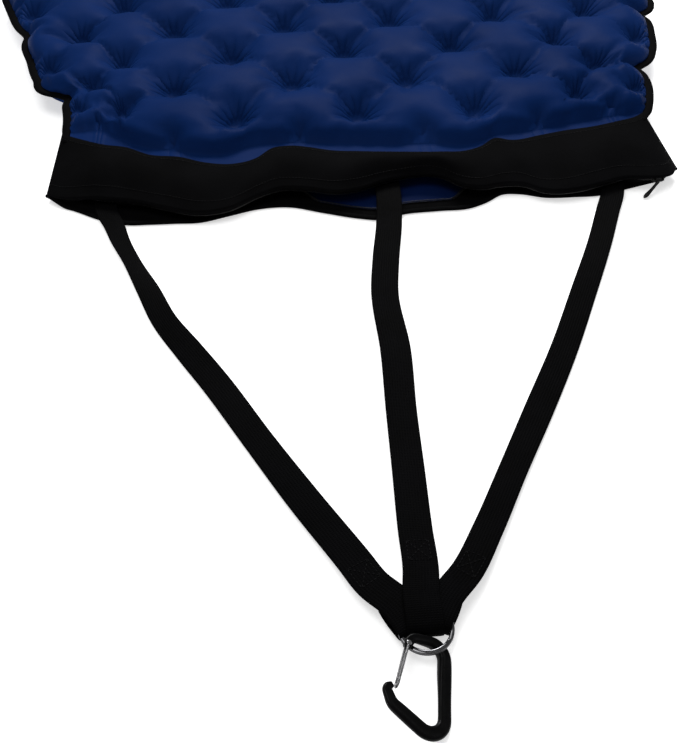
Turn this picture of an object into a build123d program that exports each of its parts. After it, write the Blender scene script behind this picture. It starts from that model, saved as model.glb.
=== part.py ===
"""Inflatable hammock pad with a zipped end pocket, a three-strap bridle, a ring and a
wire-gate carabiner at each end.

The frame has +Y along the pad and +Z up. The origin is on the floor under the middle of
the pad. Lengths are in millimetres. The front end lies at -Y, and the rear end is the
same assembly turned half a turn about Z.
"""

import os
from math import cos, radians, sin

from build123d import *

# Driving dimensions: the pad
PAD_HALF_LENGTH = 895
PAD_HALF_WIDTH = 395
PAD_END_HALF_WIDTH = 300
TAPER_START = 595
PAD_THICKNESS = 54
SHEET = 2
BINDING = 4
BINDING_DEPTH = 7

# Driving dimensions: the pocket at each end, with its zip
BAND_HALF_WIDTH = 313
BAND_THICKNESS = 2.5
BAND_ROOT_Y = -866
BAND_KNEE_Y = -900
BAND_KNEE_Z = 40
POCKET_BACK_Y = -897
LIP_Y = -940
LIP_Z = 17.5
FLOOR_EDGE_Y = -950
FLOOR_BACK_Y = -870
LIP_BINDING_HEIGHT = 3.2
TAPE_THICKNESS = 1.2
TAPE_WIDTH = 4
COIL = 2.4
CHAIN_END = 304
CLOSED_FROM = 274
OPEN_TO = 262
SLIDER_X = 296
SLIDER_LENGTH = 12

# Driving dimensions: the bridle of webbing, its ring and its carabiner
WEBBING_WIDTH = 25
WEBBING = 1.6
HINGE_Y = -957
STRAP_SETBACK = 1.2
ROOT_SETBACK = 2.8
RING_CENTRE = (-15, -1405, 9.3)
RING_RADIUS = 17.4
RING_WIRE_WIDTH = 3.2
RING_WIRE_HEIGHT = 3.4
EYE_WIDTH = 9
EYE_LENGTH = 22
EYE_OPENING = 6.8
ROD_WIDTH = 6
TONGUE_THICKNESS = 2.2
ROD_THICKNESS = 4.4
CLIP_ORIGIN = (-3, -1415.5, 3.6)
CLIP_TURN = -9.9
CLIP_TILT = 25
GATE_WIRE = 0.8
GATE_WIRE_SPREAD = 2.1
GATE_EYE = 2.0
RIVET_RADIUS = 0.9
RIVET_LENGTH = 5.8
RUNNING_GAP = 0.07

# Driving dimensions: the air valve
VALVE_X = -181.5
VALVE_Y = 780
VALVE_BORE = 12
VALVE_COLLAR = 16.5
VALVE_FLANGE = 26
VALVE_TOP = 62
VALVE_SOCKET = 10
VALVE_FLAP = 1.2
CAP_THICKNESS = 3
CAP_PLUG = 4

MID_Z = PAD_THICKNESS / 2

# Each strap: where it leaves the pocket, the points of its middle line, and its height
STRAPS = {
    "left": ([(-247, HINGE_Y), (-200, -1072), (-113, -1234), (-42, -1370)], 6.1),
    "right": ([(240, HINGE_Y), (169, -1111), (62, -1295), (9, -1371)], 8.0),
    "centre": ([(16, HINGE_Y), (3, -1150), (-8, -1290), (-13, -1377)], 9.9),
}
EYE_ANGLES = {"left": 135, "centre": 90, "right": 45}

os.makedirs("parts", exist_ok=True)


def save(part, name):
    """Writes one piece to its own file, under its node's name."""
    part.label = name
    export_step(part, f"parts/{name}.step")


def save_at_both_ends(part, name):
    """Writes a piece of the front end and its twin at the rear end."""
    save(part, f"front_{name}")
    save(Rot(0, 0, 180) * part, f"rear_{name}")


def pad_outline(grow=0.0):
    """Corners of the pad seen from above: a long rectangle whose ends taper."""
    wide = PAD_HALF_WIDTH + grow
    narrow = PAD_END_HALF_WIDTH + grow
    end = PAD_HALF_LENGTH
    right = [(narrow, -end), (wide, -TAPER_START), (wide, TAPER_START), (narrow, end)]
    left = [(-x, y) for x, y in reversed(right)]
    return right + left


def ribbon(points, below, above):
    """Corners of a strip that follows points (x, z), from below them to above them."""
    lower = [(x, z - below) for x, z in points]
    upper = [(x, z + above) for x, z in reversed(points)]
    return lower + upper


# ---------------------------------------------------------------- the inflatable pad
def pad_sheet(side):
    """One fabric sheet of the pad: a tray with sloping rims, 1 for the top, -1 below."""
    depth = PAD_THICKNESS / 2
    with BuildPart() as sheet:
        with BuildSketch(Plane.XY.offset(MID_Z)):
            Polygon(*pad_outline(), align=None)
        extrude(amount=side * depth, taper=45)
        with BuildSketch(Plane.XY.offset(MID_Z)):
            Polygon(*pad_outline(), align=None)
            offset(amount=-2 * SHEET, mode=Mode.REPLACE, kind=Kind.INTERSECTION)
        extrude(amount=side * (depth - SHEET), taper=45, mode=Mode.SUBTRACT)
        if side > 0:
            with Locations((VALVE_X, VALVE_Y, PAD_THICKNESS)):
                Hole(VALVE_COLLAR)
    return sheet.part


def side_binding(side):
    """The strip that covers the pad's long seam, on one side."""
    with BuildPart() as strip:
        with BuildSketch(Plane.XY.offset(MID_Z - BINDING_DEPTH / 2)):
            Polygon(*pad_outline(BINDING), align=None)
            Polygon(*pad_outline(), align=None, mode=Mode.SUBTRACT)
        extrude(amount=BINDING_DEPTH)
        split(bisect_by=Plane.YZ, keep=Keep.TOP if side > 0 else Keep.BOTTOM)
    return strip.part


save(pad_sheet(1), "pad_top_sheet")
save(pad_sheet(-1), "pad_bottom_sheet")
save(side_binding(-1), "side_binding_left")
save(side_binding(1), "side_binding_right")

# ---------------------------------------------------------------- the air valve
with BuildPart() as valve_base:
    with BuildSketch(Plane.XY.offset(PAD_THICKNESS)):
        with Locations((VALVE_X, VALVE_Y)):
            Circle(VALVE_FLANGE)
    extrude(amount=SHEET)
    with BuildSketch(Plane.XY.offset(PAD_THICKNESS - VALVE_SOCKET)):
        with Locations((VALVE_X, VALVE_Y)):
            Circle(VALVE_COLLAR - 0.5)
    extrude(amount=VALVE_TOP - PAD_THICKNESS + VALVE_SOCKET)
    with Locations((VALVE_X, VALVE_Y, VALVE_TOP)):
        Hole(VALVE_BORE)
save(valve_base.part, "valve_base")

flap_z = PAD_THICKNESS - VALVE_SOCKET - VALVE_FLAP - 0.3
with BuildPart() as valve_flap:
    with BuildSketch(Plane.XY.offset(flap_z)):
        with Locations((VALVE_X, VALVE_Y)):
            Circle(VALVE_BORE + 2)
    extrude(amount=VALVE_FLAP)
save(valve_flap.part, "valve_flap")

with BuildPart() as valve_cap:
    with BuildSketch(Plane.XY.offset(VALVE_TOP + 0.4)):
        with Locations((VALVE_X, VALVE_Y)):
            Circle(VALVE_COLLAR)
        with Locations((VALVE_X + VALVE_COLLAR + 2, VALVE_Y)):
            Rectangle(8, 9)
    extrude(amount=CAP_THICKNESS)
    with BuildSketch(Plane.XY.offset(VALVE_TOP - CAP_PLUG)):
        with Locations((VALVE_X, VALVE_Y)):
            Circle(VALVE_BORE - 1.6)
    extrude(amount=CAP_PLUG + 1)
save(valve_cap.part, "valve_cap")

# ---------------------------------------------------------------- the end pocket
band_root_z = PAD_THICKNESS + 1.2
with BuildPart() as pocket_band:
    with BuildSketch(Plane.YZ.offset(-BAND_HALF_WIDTH)):
        Polygon(
            (BAND_ROOT_Y, band_root_z),
            (BAND_KNEE_Y, BAND_KNEE_Z),
            (LIP_Y, LIP_Z),
            (LIP_Y, LIP_Z + BAND_THICKNESS),
            (BAND_KNEE_Y - 1, BAND_KNEE_Z + BAND_THICKNESS),
            (BAND_ROOT_Y, band_root_z + BAND_THICKNESS),
            align=None,
        )
    extrude(amount=2 * BAND_HALF_WIDTH)
    # a wall closes the pocket at each side
    with BuildSketch(Plane.YZ.offset(-BAND_HALF_WIDTH)):
        Polygon(
            (POCKET_BACK_Y, SHEET),
            (LIP_Y, SHEET),
            (LIP_Y, LIP_Z + 1),
            (BAND_KNEE_Y, BAND_KNEE_Z),
            (POCKET_BACK_Y, BAND_KNEE_Z),
            align=None,
        )
    extrude(amount=BAND_THICKNESS)
    mirror(about=Plane.YZ)
save_at_both_ends(pocket_band.part, "pocket_band")

with BuildPart() as pocket_floor:
    with BuildSketch(Plane.XY):
        with Locations((0, (FLOOR_EDGE_Y + FLOOR_BACK_Y) / 2)):
            Rectangle(2 * BAND_HALF_WIDTH, FLOOR_BACK_Y - FLOOR_EDGE_Y)
    extrude(amount=SHEET)
save_at_both_ends(pocket_floor.part, "pocket_floor")

with BuildPart() as lip_binding:
    with BuildSketch(Plane.XY):
        with Locations((0, FLOOR_EDGE_Y - BINDING / 2)):
            Rectangle(2 * BAND_HALF_WIDTH, BINDING)
    extrude(amount=LIP_BINDING_HEIGHT)
    fillet(lip_binding.edges().filter_by(Axis.X), 0.8)
save_at_both_ends(lip_binding.part, "lip_binding")

# ---------------------------------------------------------------- the zip
# The two chains run apart along the open mouth and meet at its two ends.
LOWER_CHAIN = [(OPEN_TO, 4.0), (CLOSED_FROM, 11.0), (CHAIN_END, 11.0)]
UPPER_CHAIN = [(OPEN_TO, 16.0), (CLOSED_FROM, 15.0), (CHAIN_END, 15.0)]


def both_halves(points):
    """Mirrors a half path about the middle, so that it runs the whole mouth."""
    return [(-x, z) for x, z in reversed(points)] + points


def zip_strip(points, below, above, depth):
    """A strip of the zip that stands on edge in the plane of the chain."""
    with BuildPart() as strip:
        with BuildSketch(Plane.XZ.offset(-LIP_Y + 1 - depth / 2)):
            Polygon(*ribbon(both_halves(points), below, above), align=None)
        extrude(amount=depth)
    return strip.part


half_coil = COIL / 2
save_at_both_ends(zip_strip(LOWER_CHAIN, half_coil, half_coil, COIL), "zip_coil_lower")
save_at_both_ends(zip_strip(UPPER_CHAIN, half_coil, half_coil, COIL), "zip_coil_upper")
save_at_both_ends(
    zip_strip(UPPER_CHAIN, -half_coil, half_coil + TAPE_WIDTH, TAPE_THICKNESS),
    "zip_tape_upper",
)

with BuildPart() as zip_tape_lower:
    with BuildSketch(Plane.XZ.offset(-LIP_Y + 1 - TAPE_THICKNESS / 2)):
        edge = [(x, z - half_coil) for x, z in both_halves(LOWER_CHAIN)]
        Polygon((CHAIN_END, SHEET), (-CHAIN_END, SHEET), *edge, align=None)
    extrude(amount=TAPE_THICKNESS)
save_at_both_ends(zip_tape_lower.part, "zip_tape_lower")

# the closed chain lies midway between its two coils
CHAIN_Z = (LOWER_CHAIN[-1][1] + UPPER_CHAIN[-1][1]) / 2
chain_y = LIP_Y - 1
STOP_DEPTH = 3.2

with BuildPart() as zip_stops:
    with BuildSketch(Plane.XZ.offset(-chain_y - STOP_DEPTH / 2)):
        with Locations((CHAIN_END + 1.8, CHAIN_Z), (-CHAIN_END - 1.8, CHAIN_Z)):
            Rectangle(3, 7)
    extrude(amount=STOP_DEPTH)
save_at_both_ends(zip_stops.part, "zip_stops")

PLATE = 1.2
PLATE_HEIGHT = 8
PLATE_CORNER = 2.4
PLATE_GAP = 4.8
BAIL_REACH = 3.1
BAIL_ROD = 0.7
BAIL_SPREAD = 4
PULL_LENGTH = 26
PULL_WIDTH = 4.4
PULL_THICKNESS = 1.2
PULL_DROP = 25

front_plate_y = chain_y - PLATE_GAP / 2 - PLATE
bail_y = front_plate_y - BAIL_REACH + BAIL_ROD

with BuildPart() as zip_slider:
    with BuildSketch(Plane.XZ.offset(-front_plate_y - PLATE)):
        with Locations((SLIDER_X, CHAIN_Z)):
            RectangleRounded(SLIDER_LENGTH, PLATE_HEIGHT, PLATE_CORNER)
    extrude(amount=PLATE)
    with BuildSketch(Plane.XZ.offset(-chain_y - PLATE_GAP / 2)):
        with Locations((SLIDER_X + 3.5, CHAIN_Z)):
            Rectangle(3, 0.9)
    extrude(amount=PLATE_GAP)
    with BuildSketch(Plane.XZ.offset(-chain_y - PLATE_GAP / 2)):
        with Locations((SLIDER_X, CHAIN_Z)):
            RectangleRounded(SLIDER_LENGTH, PLATE_HEIGHT, PLATE_CORNER)
    extrude(amount=-PLATE)
    for side in (-1, 1):
        with BuildSketch(Plane.XZ.offset(-front_plate_y)):
            with Locations((SLIDER_X + side * BAIL_SPREAD, CHAIN_Z)):
                Rectangle(1.4, 1.4)
        extrude(amount=BAIL_REACH)
    with BuildSketch(Plane.YZ.offset(SLIDER_X - BAIL_SPREAD)):
        with Locations((bail_y, CHAIN_Z)):
            Circle(BAIL_ROD)
    extrude(amount=2 * BAIL_SPREAD)
save_at_both_ends(zip_slider.part, "zip_slider")

# The pull hangs on the bail and slopes down and outwards to the ground.
pull_plane = Plane(
    origin=(SLIDER_X, bail_y, CHAIN_Z),
    x_dir=(1, 0, 0),
    z_dir=(0, -sin(radians(PULL_DROP)), cos(radians(PULL_DROP))),
)
with BuildPart() as zip_pull:
    with BuildSketch(pull_plane.offset(-PULL_THICKNESS / 2)):
        Circle(PULL_WIDTH / 2)
        with Locations((0, -PULL_LENGTH / 2 - 0.6)):
            SlotCenterToCenter(PULL_LENGTH - 5, PULL_WIDTH, rotation=90)
    extrude(amount=PULL_THICKNESS)
    with BuildSketch(Plane.YZ.offset(SLIDER_X - PULL_WIDTH / 2)):
        with Locations((bail_y, CHAIN_Z)):
            Circle(2.0)
    extrude(amount=PULL_WIDTH)
    with BuildSketch(Plane.YZ.offset(SLIDER_X - 3)):
        with Locations((bail_y, CHAIN_Z)):
            Circle(BAIL_ROD + RUNNING_GAP)
    extrude(amount=6, mode=Mode.SUBTRACT)
    with BuildSketch(pull_plane.offset(-2)):
        with Locations((0, -PULL_LENGTH + 4)):
            SlotCenterToCenter(3, 1.6, rotation=90)
    extrude(amount=4, mode=Mode.SUBTRACT)
save_at_both_ends(zip_pull.part, "zip_pull")

# ---------------------------------------------------------------- the webbing bridle
root_front = HINGE_Y + ROOT_SETBACK
for side, (route, height) in STRAPS.items():
    root_x = route[0][0]
    with BuildPart() as strap_root:
        with BuildSketch(Plane.XY.offset(height)):
            with Locations((root_x, (root_front + POCKET_BACK_Y) / 2)):
                Rectangle(WEBBING_WIDTH, POCKET_BACK_Y - root_front)
        extrude(amount=WEBBING)
    save_at_both_ends(strap_root.part, f"strap_{side}_root")

    start = (root_x, HINGE_Y - STRAP_SETBACK)
    with BuildPart() as strap:
        with BuildSketch(Plane.XY.offset(height)):
            with BuildLine() as middle:
                Polyline(start, *route[1:])
            trace(line_width=WEBBING_WIDTH)
        extrude(amount=WEBBING)
        with BuildSketch(Plane.XY.offset(height)):
            with Locations((root_x, HINGE_Y - STRAP_SETBACK + WEBBING_WIDTH)):
                Rectangle(2 * WEBBING_WIDTH, 2 * WEBBING_WIDTH)
        extrude(amount=WEBBING, mode=Mode.SUBTRACT)
    save_at_both_ends(strap.part, f"strap_{side}")

# Each strap ends in a gathered eye that is folded round the ring's wire.
for side, angle in EYE_ANGLES.items():
    out = (cos(radians(angle)), sin(radians(angle)))
    eye_plane = Plane(
        origin=(
            RING_CENTRE[0] + RING_RADIUS * out[0],
            RING_CENTRE[1] + RING_RADIUS * out[1],
            RING_CENTRE[2],
        ),
        x_dir=(out[0], out[1], 0),
        z_dir=(out[1], -out[0], 0),
    )
    with BuildPart() as strap_eye:
        with BuildSketch(eye_plane.offset(-EYE_WIDTH / 2)):
            with Locations((0, 0)):
                Circle(EYE_OPENING / 2 + WEBBING)
            with Locations((EYE_LENGTH / 2, 0)):
                Rectangle(EYE_LENGTH, EYE_OPENING + 2 * WEBBING)
            with Locations((0, 0)):
                Circle(EYE_OPENING / 2, mode=Mode.SUBTRACT)
            with Locations((EYE_LENGTH / 2 + 1, 0)):
                Rectangle(EYE_LENGTH + 2, EYE_OPENING, mode=Mode.SUBTRACT)
        extrude(amount=EYE_WIDTH)
    save_at_both_ends(strap_eye.part, f"strap_{side}_eye")

# ---------------------------------------------------------------- the ring
with BuildPart() as bridle_ring:
    with BuildSketch(Plane.XZ):
        with Locations((RING_RADIUS, 0)):
            RectangleRounded(RING_WIRE_WIDTH, RING_WIRE_HEIGHT, 0.8)
    revolve(axis=Axis.Z)
save_at_both_ends(Pos(*RING_CENTRE) * bridle_ring.part, "bridle_ring")

# ---------------------------------------------------------------- the carabiner
turn = radians(CLIP_TURN)
tilt = radians(CLIP_TILT)
clip_plane = Plane(
    origin=CLIP_ORIGIN,
    x_dir=(cos(turn) * cos(tilt), sin(turn) * cos(tilt), -sin(tilt)),
    z_dir=(cos(turn) * sin(tilt), sin(turn) * sin(tilt), cos(tilt)),
)
# Corners of the rod's middle line, before they are rounded, with their radii
CLIP_CORNERS = [(0.5, 5.5), (0.5, -68), (-39, -36), (-24, 5.5)]
CLIP_RADII = [12, 9, 6, 10]
PIVOT = (-28.4, -7)
NOSE = (-36, -29.2)


def clip_outline(grow):
    """The carabiner's rounded outline, grown outwards from the rod's middle line."""
    with BuildSketch() as face:
        with BuildLine():
            FilletPolyline(*CLIP_CORNERS, radius=CLIP_RADII, close=True)
        make_face()
        offset(amount=grow, kind=Kind.INTERSECTION)
    return face.sketch


rod_outer = clip_outline(ROD_WIDTH / 2)
rod_inner = clip_outline(-ROD_WIDTH / 2)

with BuildPart() as carabiner_body:
    with BuildSketch(clip_plane.offset(-ROD_THICKNESS / 2)):
        add(rod_outer)
        add(rod_inner, mode=Mode.SUBTRACT)
        with BuildLine():
            Polyline((-18, -10), (-36, -10), (-46, -27.5), (-24, -27.5), close=True)
        make_face(mode=Mode.SUBTRACT)
    extrude(amount=ROD_THICKNESS)
    # the rod narrows to a tongue at the pivot, between the gate's two eyes
    for side in (-1, 1):
        with BuildSketch(clip_plane.offset(side * TONGUE_THICKNESS / 2)):
            with Locations(PIVOT):
                Rectangle(9, 8)
        extrude(amount=side * ROD_THICKNESS, mode=Mode.SUBTRACT)
    with BuildSketch(clip_plane.offset(-ROD_THICKNESS)):
        with Locations(PIVOT):
            Circle(RIVET_RADIUS)
    extrude(amount=2 * ROD_THICKNESS, mode=Mode.SUBTRACT)
    # the nose is notched for the gate's cross bar
    with BuildSketch(clip_plane.offset(-ROD_THICKNESS)):
        with Locations((NOSE[0] + 1.8, NOSE[1] + 0.4)):
            RectangleRounded(6, 3.6, 1)
    extrude(amount=2 * ROD_THICKNESS, mode=Mode.SUBTRACT)
save_at_both_ends(carabiner_body.part, "carabiner_body")

with BuildPart() as carabiner_rivet:
    with BuildSketch(clip_plane.offset(-RIVET_LENGTH / 2)):
        with Locations(PIVOT):
            Circle(RIVET_RADIUS)
    extrude(amount=RIVET_LENGTH)
save_at_both_ends(carabiner_rivet.part, "carabiner_rivet")

gate_run = Vector(NOSE[0] - PIVOT[0], NOSE[1] - PIVOT[1])
gate_dir = gate_run.normalized()
gate_x = clip_plane.x_dir * gate_dir.X + clip_plane.y_dir * gate_dir.Y
with BuildPart() as carabiner_gate:
    for side in (-1, 1):
        with BuildSketch(clip_plane.offset(side * GATE_WIRE_SPREAD - GATE_WIRE)):
            with Locations(PIVOT):
                Circle(GATE_EYE)
        extrude(amount=2 * GATE_WIRE)
        wire_plane = Plane(
            origin=clip_plane.from_local_coords(
                Vector(*PIVOT, side * GATE_WIRE_SPREAD) + gate_dir
            ),
            z_dir=gate_x,
        )
        with BuildSketch(wire_plane):
            Circle(GATE_WIRE)
        extrude(amount=gate_run.length - 1)
    with BuildSketch(clip_plane.offset(-GATE_WIRE_SPREAD)):
        with Locations(NOSE):
            Circle(GATE_WIRE)
    extrude(amount=2 * GATE_WIRE_SPREAD)
    with BuildSketch(clip_plane.offset(-ROD_THICKNESS)):
        with Locations(PIVOT):
            Circle(RIVET_RADIUS + RUNNING_GAP)
    extrude(amount=2 * ROD_THICKNESS, mode=Mode.SUBTRACT)
save_at_both_ends(carabiner_gate.part, "carabiner_gate")
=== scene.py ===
"""Looks of the inflatable hammock pad: quilted pad, zipped end pockets, webbing bridles,
rings, wire-gate carabiners and the air valve.

The shapes are worked out in millimetres at the front end, in the row frame, and the rear
end is the same shapes turned half a turn about Z. A depth named "inward" is measured along
+Y from the middle of the front mouth, at MOUTH_Y.
"""

from math import cos, pi, radians, sin

import bpy
import numpy as np
from mathutils import Matrix, Vector


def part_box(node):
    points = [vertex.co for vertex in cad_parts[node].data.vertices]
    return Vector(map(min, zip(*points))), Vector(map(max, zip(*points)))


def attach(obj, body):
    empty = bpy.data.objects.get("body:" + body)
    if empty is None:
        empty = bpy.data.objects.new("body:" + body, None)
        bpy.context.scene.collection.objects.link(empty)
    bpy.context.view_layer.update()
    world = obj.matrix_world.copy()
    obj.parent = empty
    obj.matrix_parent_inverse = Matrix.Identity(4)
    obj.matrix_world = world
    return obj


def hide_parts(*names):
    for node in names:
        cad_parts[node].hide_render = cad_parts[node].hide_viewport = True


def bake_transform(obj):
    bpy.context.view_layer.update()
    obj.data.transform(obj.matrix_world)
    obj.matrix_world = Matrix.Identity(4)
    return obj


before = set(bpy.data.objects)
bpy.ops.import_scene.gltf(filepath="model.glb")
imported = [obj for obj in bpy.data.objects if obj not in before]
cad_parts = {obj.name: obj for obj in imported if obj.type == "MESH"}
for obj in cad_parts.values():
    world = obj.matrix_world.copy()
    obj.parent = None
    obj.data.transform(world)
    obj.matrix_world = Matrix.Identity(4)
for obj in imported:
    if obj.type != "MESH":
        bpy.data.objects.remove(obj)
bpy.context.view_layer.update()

MM = 0.001
HALF_TURN = Matrix.Rotation(pi, 4, "Z")
ENDS = ("front", "rear")

# ---------------------------------------------------------------- camera
# Place in metres, pitch in degrees below level
CAMERA_PLACE = (-0.1045, -1.7134, 0.596)
CAMERA_AHEAD = (0.1045, 0.9945)
CAMERA_PITCH = 47
camera_data = bpy.data.cameras.new("camera")
camera_data.lens = 47.48
camera_data.sensor_width = 36
camera = bpy.data.objects.new("camera", camera_data)
bpy.context.scene.collection.objects.link(camera)
camera.location = CAMERA_PLACE
ahead = Vector((*CAMERA_AHEAD, 0)).normalized() * cos(radians(CAMERA_PITCH))
ahead.z = -sin(radians(CAMERA_PITCH))
camera.rotation_euler = ahead.to_track_quat("-Z", "Y").to_euler()
bpy.context.scene.camera = camera

# ---------------------------------------------------------------- places from the frame
FLOOR_PAST_MOUTH = 25
MOUTH_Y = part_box("front_pocket_floor")[0].y / MM + FLOOR_PAST_MOUTH
MOUTH_TO_MIDDLE = -MOUTH_Y
ROW_PITCH = 64.23
COLUMN_PITCH = 124.6
WELD_RADIUS = 6.5
PLEAT_PEAK, PLEAT_END = 13, 34


def corners_of(node):
    """The low and high corners of a CAD node's box, in millimetres."""
    return [np.array(corner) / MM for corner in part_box(node)]


# ---------------------------------------------------------------- mesh helpers
def smooth(points, at):
    """A smooth curve through points (place, value), read at each place."""
    place, value = np.array(points, float).T
    slope = np.gradient(value, place)
    i = np.clip(np.searchsorted(place, at) - 1, 0, len(place) - 2)
    span = place[i + 1] - place[i]
    t = np.clip((at - place[i]) / span, 0, 1)
    return (
        (2 * t**3 - 3 * t**2 + 1) * value[i]
        + (t**3 - 2 * t**2 + t) * span * slope[i]
        + (3 * t**2 - 2 * t**3) * value[i + 1]
        + (t**3 - t**2) * span * slope[i + 1]
    )


def ease(t):
    """Rises smoothly from 0 to 1 as t does."""
    t = np.clip(t, 0, 1)
    return t * t * (3 - 2 * t)


def path_through(points, count):
    """Evenly spaced points of a smooth line through points, which have any columns."""
    points = np.array(points, float)
    run = np.r_[0, np.cumsum(np.linalg.norm(np.diff(points[:, :3], axis=0), axis=1))]
    at = np.linspace(0, run[-1], count)
    return np.stack([smooth(list(zip(run, c)), at) for c in points.T], axis=1)


def show(data, name):
    """Puts a new object with the given data into the scene."""
    made = bpy.data.objects.new(name, data)
    bpy.context.scene.collection.objects.link(made)
    return made


def add_mesh(name, vertices, faces, uvs=None):
    """A new object from vertices in millimetres, smooth shaded."""
    mesh = bpy.data.meshes.new(name)
    mesh.from_pydata((np.asarray(vertices) * MM).tolist(), [], faces)
    mesh.validate()
    if uvs is not None:
        layer = mesh.uv_layers.new(name="run")
        loop_vertex = np.zeros(len(mesh.loops), int)
        mesh.loops.foreach_get("vertex_index", loop_vertex)
        layer.data.foreach_set("uv", np.asarray(uvs, float)[loop_vertex].ravel())
    mesh.shade_smooth()
    return show(mesh, name)


def grid_faces(rows, columns, around=False):
    """Quads that join a grid of vertices; around closes each row into a ring."""
    i, j = np.meshgrid(np.arange(rows - 1), np.arange(columns - (not around)), indexing="ij")
    k = (j + 1) % columns
    below = i + 1
    corners = [i * columns + j, i * columns + k, below * columns + k, below * columns + j]
    return np.stack(corners, axis=-1).reshape(-1, 4).tolist()


def add_grid(name, points, around=False, caps=False):
    """An object from a grid of points, with its run in metres as UVs."""
    rows, columns = points.shape[:2]
    faces = grid_faces(rows, columns, around)
    if caps:
        faces += [list(range(columns))[::-1]]
        faces += [[(rows - 1) * columns + j for j in range(columns)]]
    along = np.linalg.norm(np.diff(points, axis=0), axis=2).mean(axis=1)
    across = np.linalg.norm(np.diff(points, axis=1), axis=2).mean(axis=0)
    v = np.r_[0, np.cumsum(along)] * MM
    u = np.r_[0, np.cumsum(across)] * MM
    uvs = np.stack(np.meshgrid(u, v), axis=-1).reshape(-1, 2)
    return add_mesh(name, points.reshape(-1, 3), faces, uvs)


def unit(vectors):
    """The same vectors with a length of 1."""
    return vectors / np.linalg.norm(vectors, axis=-1, keepdims=True)


def sides_of(path, up):
    """Each path point's sideways and upward directions, square to the path."""
    ahead_of = unit(np.gradient(path, axis=0))
    side = unit(np.cross(ahead_of, np.broadcast_to(up, path.shape)))
    return side, np.cross(side, ahead_of)


def sweep(path, section, up=(0, 0, 1), scale=None, twist=None):
    """Rings of points: a section (side, up) carried along a path."""
    side, top = sides_of(path, up)
    scale = np.ones((len(path), 2)) if scale is None else np.asarray(scale)
    twist = np.zeros(len(path)) if twist is None else np.radians(twist)
    section = np.asarray(section, float)
    a = section[None, :, 0] * scale[:, :1]
    b = section[None, :, 1] * scale[:, 1:]
    c, s = np.cos(twist)[:, None], np.sin(twist)[:, None]
    a, b = a * c - b * s, a * s + b * c
    return path[:, None] + a[..., None] * side[:, None] + b[..., None] * top[:, None]


def tube(name, path, section, **shape):
    """A closed object: a section swept along a path, with capped ends."""
    return add_grid(name, sweep(path, section, **shape), around=True, caps=True)


def oval(width, height, count, squareness=2.0):
    """A rounded section, nearer to a rectangle as squareness grows."""
    turn = np.linspace(0, 2 * pi, count, endpoint=False)
    c, s = np.cos(turn), np.sin(turn)
    power = 2 / squareness
    x = np.sign(c) * np.abs(c) ** power * width / 2
    y = np.sign(s) * np.abs(s) ** power * height / 2
    return np.stack([x, y], axis=1)


def thicken(piece, thickness):
    """Gives a single skin its fabric thickness, centred on the skin."""
    solid = piece.modifiers.new("thickness", "SOLIDIFY")
    solid.thickness = thickness * MM
    solid.offset = 0
    apply_modifiers(piece)


def apply_modifiers(piece):
    """Applies every modifier of a piece to its mesh."""
    bpy.context.view_layer.update()
    graph = bpy.context.evaluated_depsgraph_get()
    mesh = bpy.data.meshes.new_from_object(piece.evaluated_get(graph))
    piece.modifiers.clear()
    piece.data = mesh


def round_corners(corners, radii, steps=10):
    """An open line whose inner corners are arcs of the given radii."""
    corners = [np.array(c, float) for c in corners]
    line = [corners[0]]
    for before, corner, after, radius in zip(corners, corners[1:], corners[2:], radii):
        to_before = (before - corner) / np.linalg.norm(before - corner)
        to_after = (after - corner) / np.linalg.norm(after - corner)
        half = np.arccos(np.clip(to_before @ to_after, -1, 1)) / 2
        cut = radius / np.tan(half)
        middle = to_before + to_after
        centre = corner + middle / np.linalg.norm(middle) * radius / np.sin(half)
        first = corner + to_before * cut - centre
        last = corner + to_after * cut - centre
        span = pi - 2 * half
        for t in np.linspace(0, 1, steps):
            arc = np.sin((1 - t) * span) * first + np.sin(t * span) * last
            line.append(centre + arc / np.sin(span))
    line.append(corners[-1])
    return np.array(line)


def resample(line, count):
    """The same line with evenly spaced points."""
    run = np.r_[0, np.cumsum(np.linalg.norm(np.diff(line, axis=0), axis=1))]
    at = np.linspace(0, run[-1], count)
    return np.stack([np.interp(at, run, c) for c in line.T], axis=1)


# ---------------------------------------------------------------- material helpers
def new_material(name, colour, roughness, metallic=0.0, gloss=0.5):
    """A material of one colour; gloss is the level of its clear reflections."""
    made = bpy.data.materials.new(f"{name}_look")
    made.use_nodes = True
    made.diffuse_color = (*colour, 1)
    shader = shader_of(made)
    shader.inputs["Base Color"].default_value = (*colour, 1)
    shader.inputs["Roughness"].default_value = roughness
    shader.inputs["Metallic"].default_value = metallic
    shader.inputs["Specular IOR Level"].default_value = gloss
    return made


def shader_of(material):
    """The Principled shader of a material."""
    return material.node_tree.nodes["Principled BSDF"]


def add_node(material, kind, inputs, **settings):
    """Adds a shader node, each input a number or another node's output; gives its outputs."""
    made = material.node_tree.nodes.new(f"ShaderNode{kind}")
    for key, value in settings.items():
        setattr(made, key, value)
    for key, value in inputs.items():
        if isinstance(value, bpy.types.NodeSocket):
            material.node_tree.links.new(value, made.inputs[key])
        else:
            made.inputs[key].default_value = value
    return made.outputs


def feed_shader(material, key, output):
    """Links a node's output into the material's shader."""
    material.node_tree.links.new(output, shader_of(material).inputs[key])


def noise_of(material, scale, detail):
    """The value of a noise texture that lies in the piece's own coordinates."""
    where = add_node(material, "TexCoord", {})["Object"]
    noise = {"Vector": where, "Scale": scale, "Detail": detail}
    return add_node(material, "TexNoise", noise)["Fac"]


def mottle(material, colours, scale):
    """Lets the base colour wander between two colours."""
    colour = add_node(material, "ValToRGB", {"Fac": noise_of(material, scale, 4)})["Color"]
    stops = colour.node.color_ramp.elements
    for stop, position, (red, green, blue) in zip(stops, (0.32, 0.68), colours):
        stop.position = position
        stop.color = (red, green, blue, 1)
    feed_shader(material, "Base Color", colour)


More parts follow.
